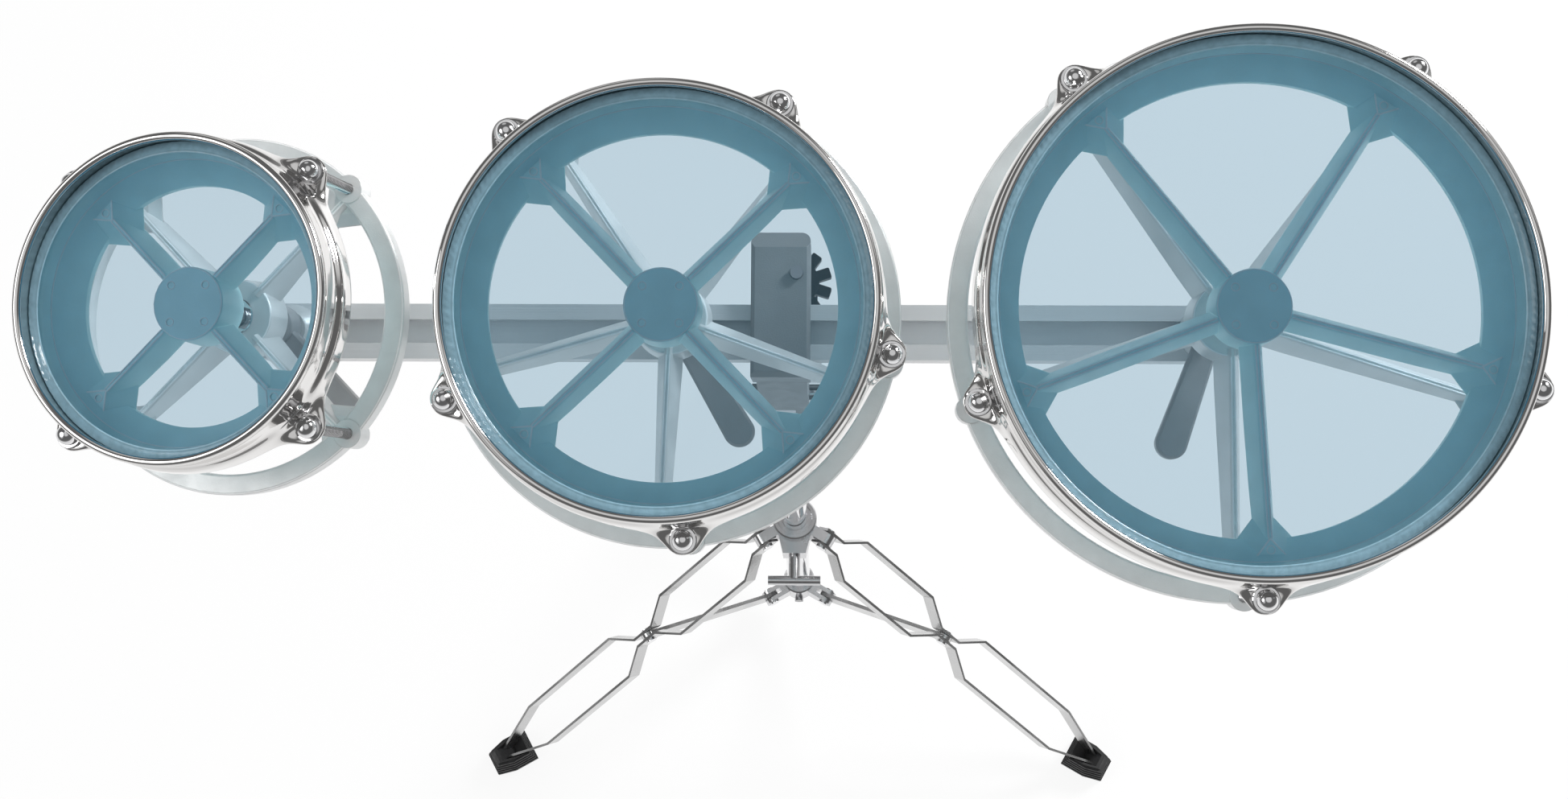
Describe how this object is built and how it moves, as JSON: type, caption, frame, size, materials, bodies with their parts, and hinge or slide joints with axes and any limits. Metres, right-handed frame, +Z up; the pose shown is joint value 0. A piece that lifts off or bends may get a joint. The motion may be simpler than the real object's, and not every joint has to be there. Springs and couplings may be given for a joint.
{
  "type": "rototom set",
  "caption": "Shell-less tunable drums with clear heads, chrome hoops and open cast frames, on a slotted rail with a tilting clamp and a folding tripod.",
  "frame": {"origin": "middle of the bounding box, at floor level", "axes": "+Z up; +X along the rail, from the small drum to the large one; -Y towards the player"},
  "size_m": [0.7342, 0.474, 0.7976],
  "materials": {
    "chrome": "bright chrome plate",
    "satin_alloy": "satin cast alloy",
    "dark_casting": "dark grey hammered finish",
    "rail_alloy": "brushed",
    "film": "clear blue-green head film",
    "flesh_alloy": "plain",
    "steel": "threaded",
    "brass": "plain",
    "rubber": "black, ribbed",
    "black_plastic": "moulded"
  },
  "bodies": {
    "stand_base": {"lower_tube": "chrome", "lower_hub": "chrome", "hub_rivets": "chrome", "hub_screw": "steel", "height_clamp": "chrome"},
    "height_bolt": {"height_wing_bolt": "chrome"},
    "mast": {"upper_tube": "chrome", "tilter_knuckle": "chrome"},
    "tilt_bolt": {"tilt_wing_bolt": "chrome"},
    "tilter": {"rail_clamp": "dark_casting"},
    "clamp_knob": {"star_knob": "black_plastic"},
    "rail_carriage": {"rail": "rail_alloy"},
    "leg_slider": {"leg_bracket": "chrome"},
    "bracket_bolt": {"bracket_t_bolt": "chrome"},
    "small_mount": {"small_shaft": "steel", "small_thrust_bearing": "brass", "small_rail_foot": "satin_alloy", "small_slide_nut": "steel"},
    "small_lever": {"small_clamp_lever": "dark_casting"},
    "small_turning": {"small_upper_frame": "satin_alloy", "small_head_film": "film"},
    "small_tension": {"small_hoop": "chrome", "small_flesh_hoop": "flesh_alloy", "small_lower_frame": "satin_alloy", "small_tension_rods": "chrome"},
    "medium_mount": {"medium_shaft": "steel", "medium_thrust_bearing": "brass", "medium_rail_foot": "satin_alloy", "medium_slide_nut": "steel"},
    "medium_lever": {"medium_clamp_lever": "dark_casting"},
    "medium_turning": {"medium_upper_frame": "satin_alloy", "medium_head_film": "film"},
    "medium_tension": {"medium_hoop": "chrome", "medium_flesh_hoop": "flesh_alloy", "medium_lower_frame": "satin_alloy", "medium_tension_rods": "chrome"},
    "large_mount": {"large_shaft": "steel", "large_thrust_bearing": "brass", "large_rail_foot": "satin_alloy", "large_slide_nut": "steel"},
    "large_lever": {"large_clamp_lever": "dark_casting"},
    "large_turning": {"large_upper_frame": "satin_alloy", "large_head_film": "film"},
    "large_tension": {"large_hoop": "chrome", "large_flesh_hoop": "flesh_alloy", "large_lower_frame": "satin_alloy", "large_tension_rods": "chrome"},
    "left_brace_arm": {"left_brace": "chrome"},
    "left_leg": {"left_leg_strips": "chrome", "left_leg_rivets": "chrome", "left_foot": "rubber"},
    "right_brace_arm": {"right_brace": "chrome"},
    "right_leg": {"right_leg_strips": "chrome", "right_leg_rivets": "chrome", "right_foot": "rubber"},
    "back_brace_arm": {"back_brace": "chrome"},
    "back_leg": {"back_leg_strips": "chrome", "back_leg_rivets": "chrome", "back_foot": "rubber"}
  },
  "joints": [
    {"name": "height_slide", "type": "slide", "parent": "stand_base", "child": "mast", "axis": [0, 0, 1], "range_m": [-0.068, 0.1]},
    {"name": "height_bolt_turn", "type": "hinge", "parent": "stand_base", "child": "height_bolt", "pos_m": [0.00518, -0.04724, 0.4095], "axis": [0.342, 0.9397, 0], "range_deg": [-90, 90]},
    {"name": "rail_tilt", "type": "hinge", "parent": "mast", "child": "tilter", "pos_m": [-0.00166, -0.06689, 0.5346], "axis": [1, 0, 0], "range_deg": [-45, 30]},
    {"name": "tilt_bolt_turn", "type": "hinge", "parent": "mast", "child": "tilt_bolt", "pos_m": [-0.00166, -0.06689, 0.5346], "axis": [1, 0, 0], "range_deg": [-90, 90]},
    {"name": "rail_shift", "type": "slide", "parent": "tilter", "child": "rail_carriage", "axis": [1, 0, 0], "range_m": [-0.06, 0.014]},
    {"name": "star_knob_turn", "type": "hinge", "parent": "tilter", "child": "clamp_knob", "pos_m": [0.00684, -0.03092, 0.6167], "axis": [0, -0.2588, 0.9659], "range_deg": [-90, 90]},
    {"name": "small_drum_slide", "type": "slide", "parent": "rail_carriage", "child": "small_mount", "axis": [1, 0, 0], "range_m": [-0.004, 0.003]},
    {"name": "small_lever_turn", "type": "hinge", "parent": "small_mount", "child": "small_lever", "pos_m": [-0.27108, -0.07398, 0.65764], "axis": [-0.1426, -0.2562, 0.9561], "range_deg": [-60, 60]},
    {"name": "small_tuning_turn", "type": "hinge", "parent": "small_mount", "child": "small_turning", "pos_m": [-0.28534, -0.0996, 0.75324], "axis": [-0.1426, -0.2562, 0.9561], "range_deg": [-180, 180]},
    {"name": "small_tension_travel", "type": "slide", "parent": "small_turning", "child": "small_tension", "axis": [-0.1426, -0.2562, 0.9561], "range_m": [-0.00101, 0.00101]},
    {"name": "medium_drum_slide", "type": "slide", "parent": "rail_carriage", "child": "medium_mount", "axis": [1, 0, 0], "range_m": [-0.003, 0.006]},
    {"name": "medium_lever_turn", "type": "hinge", "parent": "medium_mount", "child": "medium_lever", "pos_m": [-0.05566, -0.07406, 0.65794], "axis": [0, -0.2588, 0.9659], "range_deg": [-60, 60]},
    {"name": "medium_tuning_turn", "type": "hinge", "parent": "medium_mount", "child": "medium_turning", "pos_m": [-0.05566, -0.09994, 0.75454], "axis": [0, -0.2588, 0.9659], "range_deg": [-180, 180]},
    {"name": "medium_tension_travel", "type": "slide", "parent": "medium_turning", "child": "medium_tension", "axis": [0, -0.2588, 0.9659], "range_m": [-0.00101, 0.00101]},
    {"name": "large_drum_slide", "type": "slide", "parent": "rail_carriage", "child": "large_mount", "axis": [1, 0, 0], "range_m": [-0.01, 0.004]},
    {"name": "large_lever_turn", "type": "hinge", "parent": "large_mount", "child": "large_lever", "pos_m": [0.22534, -0.07406, 0.65794], "axis": [0, -0.2588, 0.9659], "range_deg": [-60, 60]},
    {"name": "large_tuning_turn", "type": "hinge", "parent": "large_mount", "child": "large_turning", "pos_m": [0.22534, -0.09994, 0.75454], "axis": [0, -0.2588, 0.9659], "range_deg": [-180, 180]},
    {"name": "large_tension_travel", "type": "slide", "parent": "large_turning", "child": "large_tension", "axis": [0, -0.2588, 0.9659], "range_m": [-0.00101, 0.00101]},
    {"name": "bracket_rise", "type": "slide", "parent": "stand_base", "child": "leg_slider", "axis": [0, 0, 1], "range_m": [-0.0005, 0.09403]},
    {"name": "bracket_bolt_turn", "type": "hinge", "parent": "leg_slider", "child": "bracket_bolt", "pos_m": [-0.00166, -0.09604, 0.244], "axis": [0, -1, 0], "range_deg": [-90, 90]},
    {"name": "left_brace_fold", "type": "hinge", "parent": "stand_base", "child": "left_brace_arm", "pos_m": [-0.02504, -0.07954, 0.054], "axis": [-0.5, 0.866, 0], "range_deg": [0, 38]},
    {"name": "left_leg_fold", "type": "hinge", "parent": "left_brace_arm", "child": "left_leg", "pos_m": [-0.1188, -0.13367, 0.149], "axis": [-0.5, 0.866, 0], "range_deg": [-76.1, 0.1]},
    {"name": "right_brace_fold", "type": "hinge", "parent": "stand_base", "child": "right_brace_arm", "pos_m": [0.02172, -0.07954, 0.054], "axis": [-0.5, -0.866, 0], "range_deg": [-0.1, 38.1]},
    {"name": "right_leg_fold", "type": "hinge", "parent": "right_brace_arm", "child": "right_leg", "pos_m": [0.11548, -0.13367, 0.149], "axis": [-0.5, -0.866, 0], "range_deg": [-76.1, 0.1]},
    {"name": "back_brace_fold", "type": "hinge", "parent": "stand_base", "child": "back_brace_arm", "pos_m": [-0.00166, -0.03904, 0.054], "axis": [1, 0, 0], "range_deg": [-0.1, 38.1]},
    {"name": "back_leg_fold", "type": "hinge", "parent": "back_brace_arm", "child": "back_leg", "pos_m": [-0.00166, 0.06923, 0.149], "axis": [1, 0, 0], "range_deg": [-76.1, 0.1]}
  ],
  "couplings": [
    {"joint": "small_tension_travel", "follows": "small_tuning_turn", "m_per_rad": 0.00031831},
    {"joint": "medium_tension_travel", "follows": "medium_tuning_turn", "m_per_rad": 0.00031831},
    {"joint": "large_tension_travel", "follows": "large_tuning_turn", "m_per_rad": 0.00031831},
    {"joint": "left_leg_fold", "follows": "left_brace_fold", "ratio": -2},
    {"joint": "right_brace_fold", "follows": "left_brace_fold", "ratio": 1},
    {"joint": "right_leg_fold", "follows": "left_brace_fold", "ratio": -2},
    {"joint": "back_brace_fold", "follows": "left_brace_fold", "ratio": 1},
    {"joint": "back_leg_fold", "follows": "left_brace_fold", "ratio": -2},
    {"joint": "bracket_rise", "follows": "left_brace_fold", "m_per_rad": 0.14027}
  ]
}
